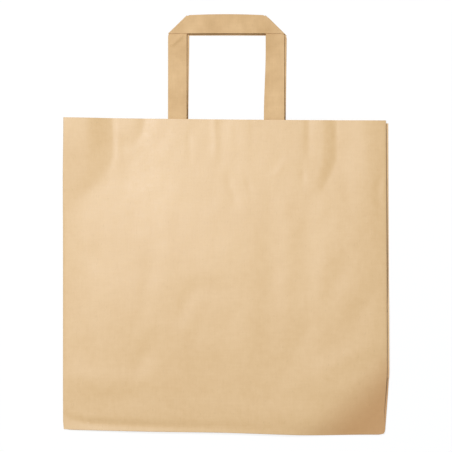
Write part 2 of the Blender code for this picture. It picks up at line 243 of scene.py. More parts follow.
# Sharp valleys and ridges pressed into the front panel. Each has its points as (x, v, depth) in
# millimetres, its width to the left and to the right, and a ridge has a negative depth.
CREASES = (
    ([(-111, 311, 0.5), (-110, 292, 0.6), (-110, 272, 0.35), (-118, 250, 0.0)], 18, 7),
    ([(-79, 311, 0.65), (-81, 296, 0.55), (-88, 286, 0.2), (-97, 278, 0.0)], 12, 16),
    ([(110, 312, 1.0), (110, 272, 0.95), (102, 252, 0.6), (92, 233, 0.0)], 10, 32),
    ([(99, 312, -0.35), (98, 270, -0.3), (88, 240, 0.0)], 16, 11),
    ([(83, 312, 0.5), (83, 285, 0.3), (83, 272, 0.0)], 6, 12),
    ([(157, 262, 0.2), (152, 238, 0.5), (156, 214, 0.1)], 8, 6),
    ([(-10, 311, -0.4), (-9, 285, -0.35), (-9, 262, 0.0)], 6, 7),
    ([(-35, 304, 0.0), (-35, 292, 0.2), (-34, 272, 0.2), (-34, 262, 0.0)], 5, 5),
    ([(0, 262, 0.0), (5, 248, 0.35), (10, 234, 0.25), (13, 220, 0.0)], 8, 8),
    ([(20, 256, 0.0), (24, 245, 0.35), (29, 232, 0.0)], 5, 5),
    ([(63, 274, 0.0), (53, 258, -0.18), (40, 251, 0.0)], 6, 5),
    ([(75, 270, 0.0), (78, 256, 0.3), (79, 240, 0.0)], 6, 6),
    ([(27, 311, 0.15), (27, 262, 0.0)], 4, 6),
    ([(6, 305, -0.15), (7, 266, 0.0)], 4, 5),
)

# Soft dents: place (x, v), reach along and across, turn from upright in degrees, and depth
DENTS = (
    (45, 157, 70, 12, 0, 0.55),
    (38, 92, 18, 9, 0, 0.3),
    (82, 177, 52, 11, 0, 0.45),
    (62, 165, 60, 7, 0, -0.12),
    (113, 155, 26, 9, 22, 0.45),
    (137, 125, 24, 10, 30, 0.7),
    (118, 70, 62, 62, 0, 1.8),
    (-36, 131, 22, 9, 20, 0.6),
    (-9, 141, 12, 18, 0, 0.3),
    (-76, 150, 36, 9, 8, 0.4),
    (-26, 103, 24, 8, 10, 0.3),
    (-79, 74, 17, 9, 30, 0.65),
    (-143, 76, 14, 11, 0, 0.5),
    (-94, 33, 8, 30, -12, 0.15),
    (78, 96, 20, 9, 20, 0.4),
    (-129, 172, 18, 7, 0, 0.4),
    (-101, 283, 9, 6, 0, 0.3),
    (128, 80, 10, 44, -30, -0.6),
    (145, 290, 55, 13, 0, -0.6),
    (-60, 215, 60, 22, 0, -0.15),
    (-137, 237, 24, 9, 46, 0.35),
    (-92, 262, 26, 20, 0, 0.5),
    (0, 95, 40, 18, -12, 0.3),
    (75, 110, 90, 60, 0, 2.6),
    (0, 50, 30, 100, 0, 1.2),
    (-80, 235, 45, 30, 0, 0.6),
    (-155, 285, 70, 50, 0, -1.2),
    (120, 255, 45, 18, 0, 0.7),
    (-115, 47, 12, 42, 0, -0.45),
    (38, 57, 28, 40, 0, 0.5),
)

# The upper left corner is turned up beyond a line that runs down from the mouth and slants off to the
# left. Lengths are in millimetres and the angle in degrees.
TURN_CORNER = (-108, 254)
TURN_ANGLE = 47
TURN_SLOPE = 0.085
TURN_EDGE = 31
TURN_SOFTNESS = 8

# The pressed hem along the bottom fold, given as the creases are: the panel rises from this line
HEM_LINE = (
    [(-161, 14, 0.4), (-152, 11, 0.7), (-134, 7.5, 1.4), (-74, 6.5, 1.2), (15, 5.5, 0.4), (80, 5, 0.0)],
    32,
    6,
)

# The end of a ply shows through the front handle's left leg. Its line is given as the creases are, but
# with x from the handle's middle, and the height above the bar's lower edge in place of v.
PLY_LINE = ([(-55, -13, 0.0), (-53, -11, -1.1), (-45, -3.5, -1.1), (-42, -0.5, 0.0)], 3.5, 4.5)

# Kraft paper: the colours of its deep and pale pulp, its roughness, the height of its grain, its gloss,
# and its clouds as (scale, weight)
BAG_DEEP = (0.685, 0.432, 0.188)
BAG_PALE = (0.815, 0.558, 0.288)
BAG_ROUGHNESS = 0.44
BAG_GRAIN_HEIGHT = 0.03 * MM
BAG_GLOSS = 0.8
BAG_CLOUD = (16, 0.5)
STRIP_DEEP = (0.63, 0.388, 0.17)
STRIP_PALE = (0.79, 0.52, 0.257)
STRIP_ROUGHNESS = 0.6
STRIP_GRAIN_HEIGHT = 0.06 * MM
STRIP_GLOSS = 0.35
STRIP_CLOUD = (42, 1.8)
PATCH_ROUGHNESS = 0.65

# Each kind of grain has the scale and detail of its noise, and its stretch, where a value under 1 draws
# it out along that axis. MIDDLE is the middle value of a noise, and of the tone between two colours.
GRAINS = {
    "mottle": (170, 4, (1, 1, 1)),
    "upright": (620, 3, (1, 0.1, 1)),
    "crosswise": (620, 3, (0.1, 1, 1)),
    "fibre": (2600, 4, (1, 0.2, 1)),
    "fibre_across": (2600, 4, (0.2, 1, 1)),
    "fleck": (900, 1, (1, 0.25, 1)),
}
CLOUD_DETAIL = 2
MIDDLE = 0.5

# Weight of each kind of grain in the paper's tone, roughness and height
TONE_WEIGHTS = {"mottle": 0.5, "upright": 0.3, "crosswise": 0.25, "fibre": 0.3, "fibre_across": 0.25}
ROUGHNESS_WEIGHTS = {"mottle": 0.15, "fibre": 0.2}
HEIGHT_WEIGHTS = {"mottle": 1.0, "upright": 0.5, "crosswise": 0.4, "fibre": 0.5, "fibre_across": 0.4}

# Flecks begin at FLECK_START of their noise and are full at FLECK_FULL. Their colour is the deep one
# times FLECK_TONE.
FLECK_START = 0.68
FLECK_FULL = 0.76
FLECK_STRENGTH = 0.14
FLECK_TONE = 0.6

# Painted shade: the bag's paper is painted darker and browner towards its lower right corner, where that
# corner curls down away from the lamp. The tint adds to the real shading of the curled corner's fall.
PAINTED_SHADE_START = 66 * MM
PAINTED_SHADE_ANGLE = 45
PAINTED_SHADE_REACH = 50 * MM
PAINTED_SHADE_TINT = (0.76, 0.63, 0.50)

# Floor and surroundings. The camera sees the floor as a mix: FLOOR_GLOW of it is plain white, and the
# rest shows the shadow.
WHITE = (1, 1, 1, 1)
FLOOR_SIZE = 6.0
FLOOR_BELOW = 0.05 * MM
FLOOR_COLOUR = (0.9, 0.9, 0.9, 1)
FLOOR_ROUGHNESS = 0.9
FLOOR_GLOW = 0.78
FLOOR_WHITE = 1.06
WORLD_FILL = 0.36

# The one lamp, a soft box
KEY_PLACE = (-0.55, 0.72, 2.5)
KEY_SIZE = 0.45
KEY_POWER = 47
KEY_COLOUR = (0.88, 0.93, 1.0)

# The camera sees a square of FRAME_PIXELS, each as long as PIXEL at the panel's level, with PHOTO_CENTRE
# in its middle. CLIP_END is in camera distances.
FRAME_PIXELS = 452
PIXEL = 0.9925 * MM
PANEL_LEVEL = 10 * MM
PHOTO_CENTRE = (1.5 * MM, -1.8 * MM)
LENS = 200
SENSOR = 36
CLIP_END = 10


def smooth(value):
    """0 below 0, 1 above 1, and an S curve between."""
    value = min(max(value, 0.0), 1.0)
    return value * value * (3 - 2 * value)


def spaced(start, end, cells):
    """Points from start to end, both included."""
    return [start + (end - start) * k / cells for k in range(cells + 1)]


CENTRE_XS = spaced(0, TUCK_X, CENTRE_CELLS) + spaced(TUCK_X, GUSSET_X, TUCK_CELLS)[1:]
SIDE_XS = spaced(GUSSET_X, HALF_WIDTH, GUSSET_CELLS)
HALF_XS = CENTRE_XS + SIDE_XS[1:]
ALL_XS = [-x for x in reversed(HALF_XS[1:])] + HALF_XS
FOOT_VS = spaced(FOOT, CREASE_OUT, GUSSET_CELLS)
FOLD_VS = spaced(CREASE, BOTTOM_TOP_IN, GUSSET_CELLS)
UPPER_VS = spaced(BOTTOM_TOP, MOUTH, UPPER_CELLS)
GUSSET_VS = [CREASE_OUT, *FOLD_VS, *UPPER_VS]
BACK_VS = FOLD_VS + UPPER_VS
FRONT_VS = [0.0, *FOOT_VS[:-1], *GUSSET_VS]


def crease_depth(points, left_width, right_width, x, v):
    """Depth of one pressed line at a place: sharp on the line, and easing out to both sides."""
    best = None
    for (x0, v0, depth0), (x1, v1, depth1) in zip(points, points[1:]):
        run_x = x1 - x0
        run_v = v1 - v0
        share = ((x - x0) * run_x + (v - v0) * run_v) / (run_x * run_x + run_v * run_v)
        share = min(max(share, 0.0), 1.0)
        off_x = x - x0 - run_x * share
        off_v = v - v0 - run_v * share
        gap = math.hypot(off_x, off_v)
        if best is None or gap < best[0]:
            side = run_x * off_v - run_v * off_x
            best = (gap, depth0 + (depth1 - depth0) * share, side)
    gap, depth, side = best
    width = right_width if side > 0 else left_width
    if gap >= width:
        return 0.0
    return depth * (1 - gap / width) ** 2


def dent_depth(dent, x, v):
    """Depth of one soft dent at a place."""
    centre_x, centre_v, along, across, turn, depth = dent
    angle = math.radians(turn)
    off_x = x - centre_x
    off_v = v - centre_v
    up = off_v * math.cos(angle) + off_x * math.sin(angle)
    sideways = off_x * math.cos(angle) - off_v * math.sin(angle)
    return depth * math.exp(-((up / along) ** 2) - (sideways / across) ** 2)


def turned_up(x, v):
    """Beyond the slanting crease, the upper left corner stands a little out of the panel."""
    off_x = x - TURN_CORNER[0]
    off_v = v - TURN_CORNER[1]
    angle = math.radians(TURN_ANGLE)
    beyond = off_v * math.cos(angle) - off_x * math.sin(angle)
    softened = (beyond + math.hypot(beyond, TURN_SOFTNESS)) / 2
    return TURN_SLOPE * softened * smooth(-off_x / TURN_EDGE)


def relief(x, v):
    """Buckles, dents and creases of the front panel, added to its puff."""
    x_mm = x / MM
    v_mm = v / MM
    pressed = sum(crease_depth(*crease, x_mm, v_mm) for crease in CREASES)
    pressed += sum(dent_depth(dent, x_mm, v_mm) for dent in DENTS)
    pressed -= turned_up(x_mm, v_mm)
    wave = noise.noise(Vector((x / WAVE_LENGTH, v / WAVE_LENGTH * WAVE_STRETCH, WAVE_SLICE)))
    crinkle = noise.noise(Vector((x / CRINKLE_LENGTH, v / CRINKLE_LENGTH * CRINKLE_STRETCH, CRINKLE_SLICE)))
    above_hem = smooth((v - HEM) / RELIEF_RISE)
    soft = (WAVE_HEIGHT * wave + CRINKLE_HEIGHT * crinkle - pressed * MM) * above_hem
    return soft - crease_depth(*HEM_LINE, x_mm, v_mm) * MM


def stack_height(layer):
    """Middle of a layer that lies in the folded stack."""
    return PAPER / 2 + PITCH * LAYERS.index(layer)


def past_bottom(v):
    """0 up to the top of the folded bottom, rising to 1 at the mouth."""
    return smooth((v - BOTTOM_TOP) / (MOUTH - BOTTOM_TOP))


def side_height(v):
    """Middle of the front panel at its side folds."""
    corner = stack_height("gusset_foot") + 2 * PITCH
    low = corner + (SIDE_HEIGHT - corner) * smooth(v / CREASE_OUT)
    return low + (MOUTH_SIDE_HEIGHT - SIDE_HEIGHT) * past_bottom(v)


def side_fold(v):
    """Height of the rounded fold between the front panel and the gusset."""
    return PITCH + (SIDE_FOLD - PITCH) * smooth((v - CREASE_OUT / 2) / CREASE_OUT)


def side_lift(x, v):
    """The right side fold stands higher above the curled corner, where the gusset has opened a little."""
    rise = 1 - max(1 - v / SIDE_LIFT_RISE, 0.0) ** 2
    along = rise * (1 - smooth((v - SIDE_LIFT_END) / SIDE_LIFT_FADE))
    return SIDE_LIFT * along * smooth((x + SIDE_LIFT_REACH) / (HALF_WIDTH + SIDE_LIFT_REACH))


def puff(x, v):
    """How far the front panel stands above its side folds."""
    across = 1 - abs(x / HALF_WIDTH) ** PUFF_POWER
    to_right = smooth(x / HALF_WIDTH)
    hem = HEM + (RIGHT_HEM - HEM) * to_right
    rise_length = BOTTOM_RISE + (RIGHT_BOTTOM_RISE - BOTTOM_RISE) * to_right
    up = min(max((v - hem) / rise_length, 0.0), 1.0)
    spring = BOTTOM_SPRING * smooth((SPRING_END - x) / SPRING_FADE)
    rise = spring + (PUFF - spring) * (1 - (1 - up) ** 2)
    towards_mouth = 1 - (1 - MOUTH_PUFF_SHARE) * past_bottom(v)
    return rise * across * towards_mouth


def front_base(x, v):
    """The front panel without its dents. It falls steadily into the curled corner."""
    full = side_height(v) + side_lift(x, v) + puff(x, v)
    from_corner = min(((HALF_WIDTH - x) + v) / math.sqrt(2) / CORNER_FALL, 1.0)
    fall = (1 - from_corner) ** 2
    low = side_height(0.0)
    return low + (full - low) * (1 - fall)


def bottom_roll(x, v):
    """Left of the curled corner, the panel rolls down a little more towards the bottom fold."""
    along = smooth(1 - abs(x - ROLL_PLACE) / ROLL_REACH)
    return ROLL_DEPTH * along * max(1 - v / ROLL_HEIGHT, 0.0) ** 2


def front_height(x, v):
    """Middle of the front panel."""
    return front_base(x, v) + relief(x, v) - bottom_roll(x, v)


def back_height(v):
    """The back panel lies on the folded bottom, and on the floor above it."""
    on_bottom = 1 - smooth((v - BOTTOM_TOP) / BACK_SETTLE)
    return PAPER / 2 + (stack_height("back") - PAPER / 2) * on_bottom


def gusset_share(x):
    """0 at the side fold and 1 at the gusset's inner crease."""
    return (HALF_WIDTH - abs(x)) / HALF_GUSSET


def gusset_back_height(x, v):
    """Middle of the gusset's back half, which lifts towards its inner crease above the folded bottom."""
    lift = GUSSET_LIFT * smooth((v - CREASE) / BACK_SETTLE)
    return back_height(v) + PITCH + lift * gusset_share(x)


def gusset_front_height(x, v):
    """Middle of the gusset's front half, from the front panel's side fold down to the inner crease."""
    edge = math.copysign(HALF_WIDTH, x)
    at_side = front_height(edge, v) - side_fold(v)
    if v < CREASE_OUT:
        corner = stack_height("gusset_foot") + PITCH
        at_crease = corner + (gusset_back_height(GUSSET_X, CREASE_OUT) + PITCH - corner) * v / CREASE_OUT
    else:
        at_crease = gusset_back_height(GUSSET_X, v) + PITCH
    return at_side + (at_crease - at_side) * gusset_share(x)


def layer_height(layer, x, v):
    """Middle of a layer of the bag's sheet above the floor."""
    if layer == "front":
        return front_height(x, v)
    if layer == "back":
        return back_height(v)
    if layer == "gusset_back":
        return gusset_back_height(x, v)
    if layer == "gusset_front":
        return gusset_front_height(x, v)
    return stack_height(layer)


def edge_shift(v):
    """How far the right side of the panels behind the front one lies out from a straight side."""
    out = 1 - max(1 - v / EDGE_OUT_V, 0.0) ** EDGE_OUT_POWER
    towards_mouth = max(v - EDGE_OUT_V, 0.0) / (MOUTH - EDGE_OUT_V)
    return (EDGE_IN + EDGE_OUT) * out - EDGE_IN - EDGE_OUT_LOSS * towards_mouth


def on_floor(layer, x, v):
    """Where a point of the flat bag lies, seen from above: out of square, with one corner drawn in."""
    up = v / BAG_HEIGHT
    drop = BOTTOM_DROP * (1 - up) + MOUTH_DROP * up
    curled = smooth(1 - (HALF_WIDTH - x) / CURL_REACH_X) * smooth(1 - v / CURL_REACH_V)
    sag = MOUTH_SAG * (1 - (x / HALF_WIDTH) ** 2) * past_bottom(v)
    bow = BOTTOM_BOW * smooth(1 - abs(x - BOTTOM_BOW_PLACE) / BOTTOM_BOW_REACH)
    bow *= smooth(1 - v / BOTTOM_BOW_FADE)
    along = v - drop * (x + HALF_WIDTH) / BAG_WIDTH - sag + bow + CURL_IN_V * curled
    near_edge = smooth(1 - (HALF_WIDTH - x) / EDGE_REACH)
    shift = edge_shift(v)
    if layer in FRONT_LAYERS:
        shift -= FRONT_BACK_STEP * smooth(v / FRONT_STEP_LENGTH)
    else:
        along -= BACK_CORNER_DROP * near_edge * smooth(1 - (MOUTH - v) / BACK_CORNER_REACH)
    left_in = LEFT_MOUTH_IN * smooth(1 - (HALF_WIDTH + x) / EDGE_REACH)
    left_in *= smooth(1 - (MOUTH - v) / LEFT_MOUTH_REACH)
    rounded = CORNER_ROUND * smooth(1 - (HALF_WIDTH - x + v) / CORNER_ROUND_REACH)
    return x + shift * near_edge + left_in - rounded, along + rounded + BASE_Y


def add_object(name, data):
    """A new object in the scene."""
    made = bpy.data.objects.new(name, data)
    bpy.context.scene.collection.objects.link(made)
    return made


class Sheet:
    """Middle surface of one folded sheet. Points are shared by layer and place, so panels join at folds."""

    def __init__(self, height, place):
        self.mesh = bmesh.new()
        self.height = height
        self.place = place
        self.points = {}

    def at(self, layer, x, v):
        """The point of a layer at a place, made once."""
        key = (layer, round(x / MM, SHARED_DECIMALS), round(v / MM, SHARED_DECIMALS))
        if key not in self.points:
            self.points[key] = self.mesh.verts.new((*self.place(layer, x, v), self.height(layer, x, v)))
        return self.points[key]

    def panel(self, layer, outline):
        """One flat panel from its outline."""
        return self.mesh.faces.new([self.at(layer, x, v) for x, v in outline])

    def grid(self, layer, xs, vs):
        """A curved panel in four-sided cells."""
        for x0, x1 in zip(xs, xs[1:]):
            for v0, v1 in zip(vs, vs[1:]):
                self.panel(layer, [(x0, v0), (x1, v0), (x1, v1), (x0, v1)])

    def fold(self, upper, lower, path):
        """The wall of paper between two layers along a fold."""
        for (x0, v0), (x1, v1) in zip(path, path[1:]):
            corners = [(upper, x0, v0), (upper, x1, v1), (lower, x1, v1), (lower, x0, v0)]
            self.mesh.faces.new([self.at(*corner) for corner in corners])

    def round_fold(self, upper, lower, path, outward, bulge, closed_end=True):
        """A fold with a rounded back. Its bulge dies out at each end that other folds close."""
        columns = []
        for k, (x, v) in enumerate(path):
            top = self.at(upper, x, v)
            foot = self.at(lower, x, v)
            from_start = math.dist(path[0], (x, v))
            from_end = math.dist(path[-1], (x, v)) if closed_end else HALF_WIDTH
            reach = bulge * smooth(min(from_start, from_end) / FOLD_BULGE_FADE)
            column = [top]
            if k > 0 and (k < len(path) - 1 or not closed_end):
                for step in range(1, FOLD_STEPS):
                    share = step / FOLD_STEPS
                    point = top.co.lerp(foot.co, (1 - math.cos(math.pi * share)) / 2)
                    column.append(self.mesh.verts.new(point + outward * reach * math.sin(math.pi * share)))
            columns.append([*column, foot])
        for left, right in zip(columns, columns[1:]):
            if len(left) == len(right):
                for k in range(FOLD_STEPS):
                    self.mesh.faces.new([left[k], right[k], right[k + 1], left[k + 1]])
            else:
                self.fan(*sorted((left, right), key=len))

    def fan(self, end, column):
        """Joins the straight end of a rounded fold to its first or last bulging column."""
        middle = FOLD_STEPS // 2
        for k in range(FOLD_STEPS):
            self.mesh.faces.new([end[0] if k < middle else end[1], column[k], column[k + 1]])
        self.mesh.faces.new([end[0], column[middle], end[1]])

    def cap(self, corners):
        """A small wall in the plane of the side fold, which closes one fold inside another."""
        self.mesh.faces.new([self.at(*corner) for corner in corners])

    def object(self, name, thickness, material, rim=0.0):
        """Gives the sheet its thickness, and rounds its edges where it has a rim."""
        bmesh.ops.recalc_face_normals(self.mesh, faces=self.mesh.faces)
        data = bpy.data.meshes.new(name)
        self.mesh.to_mesh(data)
        self.mesh.free()
        data.materials.append(material)
        made = add_object(name, data)
        shell = made.modifiers.new("paper_thickness", "SOLIDIFY")
        shell.thickness = thickness
        shell.offset = 0
        shell.use_even_offset = True
        shell.use_quality_normals = True
        if rim:
            bevel = made.modifiers.new("rounded_edges", "BEVEL")
            bevel.width = rim
            bevel.segments = STRIP_EDGE_SEGMENTS
            bevel.limit_method = "ANGLE"
            bevel.angle_limit = math.radians(STRIP_EDGE_ANGLE)
        depsgraph = bpy.context.evaluated_depsgraph_get()
        finished = bpy.data.meshes.new_from_object(made.evaluated_get(depsgraph))
        made.modifiers.clear()
        made.data = finished
        finished.name = name
        finished.shade_smooth()
        finished.set_sharp_from_angle(angle=math.radians(SHARP_ANGLE))
        return made


def along_v(x, vs):
    """Places up a line of the flat bag."""
    return [(x, v) for v in vs]


def along_x(xs, v):
    """Places across the flat bag."""
    return [(x, v) for x in xs]


def build_upper_panels(sheet):
    """Front, back and both halves of each gusset, up to the mouth."""
    sheet.grid("front", ALL_XS, FRONT_VS)
    sheet.grid("back", ALL_XS, BACK_VS)
    for side in (1, -1):
        xs = [side * x for x in SIDE_XS]
        edge = side * HALF_WIDTH
        outward = Vector((side, 0, 0))
        sheet.grid("gusset_back", xs, GUSSET_VS)
        sheet.grid("gusset_front", xs, GUSSET_VS)
        path = along_v(edge, FRONT_VS[1:])
        sheet.round_fold("front", "gusset_front", path, outward, SIDE_FOLD / 2, closed_end=False)
        sheet.fold("gusset_back", "back", along_v(edge, BACK_VS))
        sheet.fold("gusset_front", "gusset_back", along_v(side * GUSSET_X, GUSSET_VS))


def build_gusset_foot(sheet, side):
    """The gusset's foot, folded along two diagonals onto the block bottom."""
    edge = side * HALF_WIDTH
    diagonal = [(side * x, v) for x, v in zip(reversed(SIDE_XS), FOOT_VS)]
    inner_corner = diagonal[-1]
    for k, (x, v) in enumerate(diagonal[:-1]):
        x_next, v_next = diagonal[k + 1]
        sheet.panel("gusset_front", [(x, v), (x, v_next), (x_next, v_next)])
        outer_xs = [side * x_side for x_side in SIDE_XS if x_side >= abs(x) - SAME_PLACE]
        if len(outer_xs) > 1:
            sheet.grid("gusset_front", outer_xs, [v, v_next])
    sheet.fold("gusset_front", "gusset_foot", diagonal[:-1])
    last = diagonal[-2]
    sheet.cap(
        [
            ("gusset_front", *last),
            ("gusset_foot", *last),
            ("gusset_foot", *inner_corner),
            ("gusset_fold", *inner_corner),
            ("gusset_back", *inner_corner),
            ("gusset_front", *inner_corner),
        ]
    )
    side_vs = [*FOOT_VS, *FOLD_VS]
    sheet.panel("gusset_foot", along_v(edge, side_vs) + diagonal[:0:-1])
    crease = along_x([side * x for x in SIDE_XS], CREASE_OUT)
    sheet.panel("gusset_fold", crease + along_v(edge, FOLD_VS))
    sheet.fold("gusset_fold", "gusset_foot", [inner_corner, (edge, BOTTOM_TOP_IN)])
    sheet.fold("gusset_back", "gusset_fold", crease)
    sheet.fold("back_fold", "gusset_fold", along_v(edge, FOLD_VS))


def build_bottom_flaps(sheet):
    """The block bottom: two gusset flaps inside, and the front and back flaps lapped over them."""
    side_vs = [*FOOT_VS, *FOLD_VS]
    for side in (1, -1):
        edge = side * HALF_WIDTH
        tuck = side * TUCK_X
        tuck_xs = [side * x for x in HALF_XS if x >= TUCK_X - SAME_PLACE]
        outline = along_v(edge, side_vs) + along_x(tuck_xs[-2::-1], BOTTOM_TOP_IN)
        sheet.panel("gusset_flap", outline + along_x(tuck_xs[:-1], FOOT))
        sheet.fold("gusset_foot", "gusset_flap", along_v(edge, side_vs))
        for name, at_fold, flap_end in (
            ("front", FOOT, FLAP),
            ("back", BOTTOM_TOP_IN, GUSSET_DEPTH - FLAP),
        ):
            sheet.panel(f"{name}_tuck", along_x(tuck_xs, at_fold) + [(tuck, flap_end)])
            sheet.fold("gusset_flap", f"{name}_tuck", along_x(tuck_xs, at_fold))
            sheet.fold(f"{name}_tuck", f"{name}_flap", [(edge, at_fold), (tuck, flap_end)])
    for name, fold_v, at_fold, flap_end in (
        ("front", 0.0, FOOT, FLAP),
        ("back", BOTTOM_TOP, BOTTOM_TOP_IN, GUSSET_DEPTH - FLAP),
    ):
        right = [(HALF_WIDTH, at_fold), (TUCK_X, flap_end)]
        left = [(-TUCK_X, flap_end), (-HALF_WIDTH, at_fold)]
        sheet.panel(f"{name}_flap", along_x(ALL_XS, fold_v) + right + left)


def build_cross_folds(sheet):
    """The folds that run across the whole bag, and the small walls at their ends."""
    back_outline = along_x(ALL_XS, CREASE) + along_v(HALF_WIDTH, [*FOLD_VS[1:], BOTTOM_TOP])
    back_outline += along_x(ALL_XS[-2::-1], BOTTOM_TOP) + along_v(-HALF_WIDTH, FOLD_VS[:0:-1])
    sheet.panel("back_fold", back_outline)
    sheet.fold("back", "back_fold", along_x(ALL_XS, CREASE))
    down = Vector((0, -1, 0))
    up = Vector((0, 1, 0))
    sheet.round_fold("front", "front_flap", along_x(ALL_XS, 0.0), down, FOLD_BULGE)
    sheet.round_fold("back_fold", "back_flap", along_x(ALL_XS, BOTTOM_TOP), up, FOLD_BULGE)
    ends = (
        (
            ("front", "front_flap"),
            0.0,
            ("front_flap", "front_tuck", "gusset_flap", "gusset_foot", "gusset_front", "front"),
            FOOT,
        ),
        (
            ("back_fold", "back_flap"),
            BOTTOM_TOP,
            ("back_flap", "back_tuck", "gusset_flap", "gusset_foot", "gusset_fold", "back_fold"),
            BOTTOM_TOP_IN,
        ),
        (
            ("gusset_back", "gusset_fold"),
            CREASE_OUT,
            ("gusset_fold", "back_fold", "back", "gusset_back"),
            CREASE,
        ),
    )
    for edge in (HALF_WIDTH, -HALF_WIDTH):
        for outer_layers, fold_v, stack, stack_v in ends:
            corners = [(layer, edge, fold_v) for layer in outer_layers]
            sheet.cap(corners + [(layer, edge, stack_v) for layer in stack])


def build_bag(material):
    """The bag itself, one folded sheet."""
    sheet = Sheet(layer_height, on_floor)
    build_upper_panels(sheet)
    for side in (1, -1):
        build_gusset_foot(sheet, side)
    build_bottom_flaps(sheet)
    build_cross_folds(sheet)
    return sheet.object("kraft_bag", PAPER, material)


class HandleShape:
    """Sizes and heights of one handle. facing is 1 on the front panel and -1 on the back one."""

    def __init__(self, facing, offset, lean, top, leg_rest):
        self.facing = facing
        self.offset = offset
        self.lean = lean
        self.outer = HANDLE_WIDTH / 2
        self.inner = HANDLE_WIDTH / 2 - STRIP_WIDTH
        self.top = top
        self.shoulder = top - STRIP_WIDTH
        self.foot = MOUTH - HANDLE_INSERT
        self.leg_rest = leg_rest

    def leg_height(self, x, v):
        """Middle of the legs: glued to their panel inside the mouth, and lying flat at the bar."""
        inside = min(v, MOUTH)
        up_leg = min(max((v - MOUTH) / (self.shoulder - MOUTH), 0.0), 1.0)
        if self.facing < 0:
            in_bag = back_height(inside) + PAPER / 2 + SEAT + STRIP_THICKNESS / 2
            return in_bag + (self.leg_rest - in_bag) * smooth(up_leg)
        in_bag = front_height(x + self.offset, inside) - PAPER / 2 - SEAT - STRIP_THICKNESS / 2
        sag = LEG_SAG * 4 * up_leg * (1 - up_leg)
        pressed = crease_depth(*PLY_LINE, x / MM, (v - self.shoulder) / MM) * MM
        return in_bag + (self.leg_rest - in_bag) * smooth(up_leg) - sag - pressed

    def height(self, layer, x, v):
        """Middle of the strip. The front handle's bar lies on its legs, and the back handle's under them."""
        if layer == "bar":
            arch = BAR_ARCH * max(1 - (x / self.inner) ** 2, 0.0)
            return self.leg_rest + self.facing * STRIP_STEP + arch
        return self.leg_height(x, v)

    def place(self, layer, x, v):
        """The bar's upper edge bows up, the mitres are pulled in, and the handle may lean."""
        in_bar = max(v - self.shoulder, 0.0) / STRIP_WIDTH
        bow = in_bar * (BAR_BOW * max(1 - (x / self.inner) ** 2, 0.0) - BAR_SETTLE)
        lean = self.lean * max(v - MOUTH, 0.0) / (self.shoulder - MOUTH)
        from_mitre = self.outer - abs(x) + self.shoulder - v
        pull = MITRE_PULL * smooth(1 - from_mitre / MITRE_PULL_REACH)
        slip = self.ply_slip(x, v) if layer == "leg" else 0.0
        return x + self.offset + lean - slip - math.copysign(pull, x), v + bow - pull + BASE_Y

    def ply_slip(self, x, v):
        """On the front handle's right leg, one ply stands out from under the others towards the mouth."""
        if self.facing < 0 or x < 0:
            return 0.0
        up_leg = (v - MOUTH) / (self.shoulder - MOUTH)
        slip = PLY_SLIP * smooth((PLY_SLIP_TOP - up_leg) / PLY_SLIP_TOP)
        return slip * smooth(1 - (x - self.inner) / PLY_SLIP_REACH)


def build_handle(name, shape, material):
    """A strip that runs up one leg, folds over at 45 degrees into the bar, and down the other leg."""
    sheet = Sheet(shape.height, shape.place)
    leg_vs = spaced(shape.foot, MOUTH, INSERT_CELLS) + spaced(MOUTH, shape.shoulder, LEG_CELLS)[1:]
    strip_xs = spaced(shape.inner, shape.outer, STRIP_CELLS)
    mitre_vs = spaced(shape.shoulder, shape.top, STRIP_CELLS)
    for side in (1, -1):
        xs = [side * x for x in strip_xs]
        sheet.grid("leg", xs, leg_vs)
        build_mitre_corner(sheet, xs, mitre_vs)
        wrap_mitre(sheet, list(zip(reversed(xs), mitre_vs)), side)
    build_bar(sheet, shape, mitre_vs)
    return sheet.object(name, STRIP_THICKNESS, material, STRIP_EDGE)


def build_mitre_corner(sheet, xs, vs):
    """The leg's triangle under the bar, in cells that end on the mitre."""
    for column in range(STRIP_CELLS):
        rows = STRIP_CELLS - column
        x0 = xs[column]
        x1 = xs[column + 1]
        for row in range(rows - 1):
            sheet.panel("leg", [(x0, vs[row]), (x1, vs[row]), (x1, vs[row + 1]), (x0, vs[row + 1])])
        sheet.panel("leg", [(x0, vs[rows - 1]), (x1, vs[rows - 1]), (x0, vs[rows])])


def build_bar(sheet, shape, vs):
    """The bar, whose rows end on the two mitres."""
    rows = []
    for v in vs:
        half = shape.outer - (v - shape.shoulder)
        rows.append([(x, v) for x in spaced(-half, half, BAR_CELLS)])
    for low, high in zip(rows, rows[1:]):
        for k in range(BAR_CELLS):
            sheet.panel("bar", [low[k], low[k + 1], high[k + 1], high[k]])


def wrap_mitre(sheet, mitre, side):
    """The rounded fold along one mitre, from the leg over to the bar."""
    reach = STRIP_STEP / 2
    outward = Vector((side, 1, 0)).normalized()
    columns = []
    for x, v in mitre:
        leg = sheet.at("leg", x, v)
        bar = sheet.at("bar", x, v)
        column = [leg]
        for k in range(1, MITRE_STEPS):
            angle = math.pi * k / MITRE_STEPS
            middle = (leg.co + bar.co) / 2
            rise = (leg.co - bar.co) / 2 * math.cos(angle)
            column.append(sheet.mesh.verts.new(middle + rise + outward * reach * math.sin(angle)))
        columns.append([*column, bar])
    for low, high in zip(columns, columns[1:]):
        for k in range(MITRE_STEPS):
            sheet.mesh.faces.new([low[k], high[k], high[k + 1], low[k + 1]])


class PatchShape:
    """Sizes and heights of the patch over one handle's ends."""

    def __init__(self, handle):
        self.handle = handle
        self.top = MOUTH - PATCH_INSET
        self.foot = self.top - PATCH_HEIGHT

    def height(self, _layer, x, v):
        """Glued to the panel, and stepping over the two handle legs."""
        handle = self.handle
        beside = max(handle.inner - abs(x), abs(x) - handle.outer, handle.foot - v)
        over = STRIP_THICKNESS + SEAT
        step = over * smooth(1 - (beside - SEAT) / PATCH_STEP)
        depth = PAPER + SEAT + step
        if handle.facing > 0:
            return front_height(x + handle.offset, v) - depth
        return back_height(v) + depth

    def place(self, _layer, x, v):
        """Centred on its handle."""
        return x + self.handle.offset, v + BASE_Y


